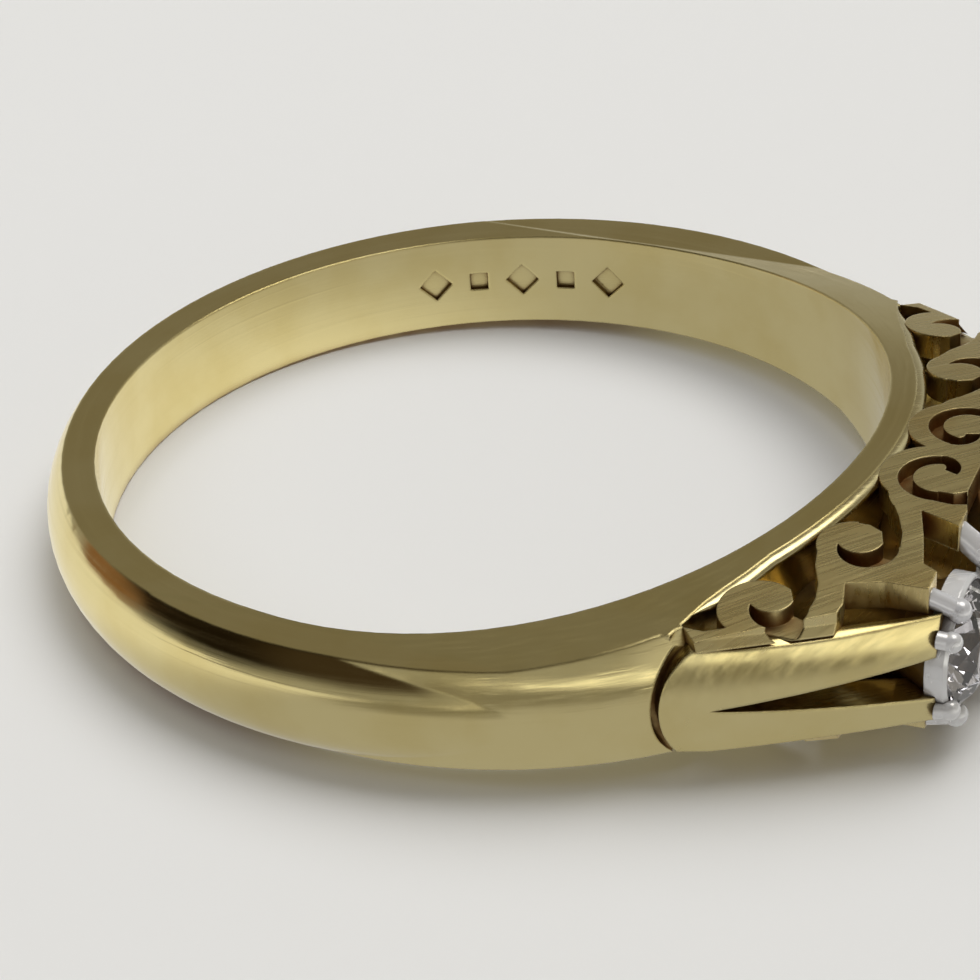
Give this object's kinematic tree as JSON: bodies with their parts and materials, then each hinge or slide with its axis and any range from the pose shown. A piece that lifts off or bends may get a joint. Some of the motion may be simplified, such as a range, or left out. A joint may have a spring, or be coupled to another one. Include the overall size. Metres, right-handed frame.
{
  "type": "engagement ring",
  "caption": "Antique-style gold engagement ring with a tapered domed shank, split shoulders, pierced scroll sides and white-metal claws holding a row of round brilliants.",
  "frame": {"origin": "centre of the finger hole, on the middle plane of the shank", "axes": "+Z along the finger, +X from the finger hole towards the middle of the stone row, so the ring lies on its side"},
  "size_m": [0.022, 0.0199, 0.0041],
  "materials": {
    "gold": "polished outside, satin inside, worn",
    "platinum": "polished",
    "diamond": "faceted and polished"
  },
  "bodies": {
    "root": {"shank": "gold", "shoulder_right": "gold", "shoulder_left": "gold", "panel_upper": "gold", "panel_lower": "gold", "collet_middle": "gold", "collet_right": "gold", "collet_left": "gold", "seat_middle": "platinum", "seat_right": "platinum", "seat_left": "platinum", "claw_shared_ru": "platinum", "claw_shared_rl": "platinum", "claw_shared_lu": "platinum", "claw_shared_ll": "platinum", "claw_outer_ru": "platinum", "claw_outer_rl": "platinum", "claw_outer_lu": "platinum", "claw_outer_ll": "platinum", "claw_tip_ru": "platinum", "claw_tip_rl": "platinum", "claw_tip_lu": "platinum", "claw_tip_ll": "platinum", "diamond_middle": "diamond", "diamond_right": "diamond", "diamond_left": "diamond"}
  },
  "joints": []
}
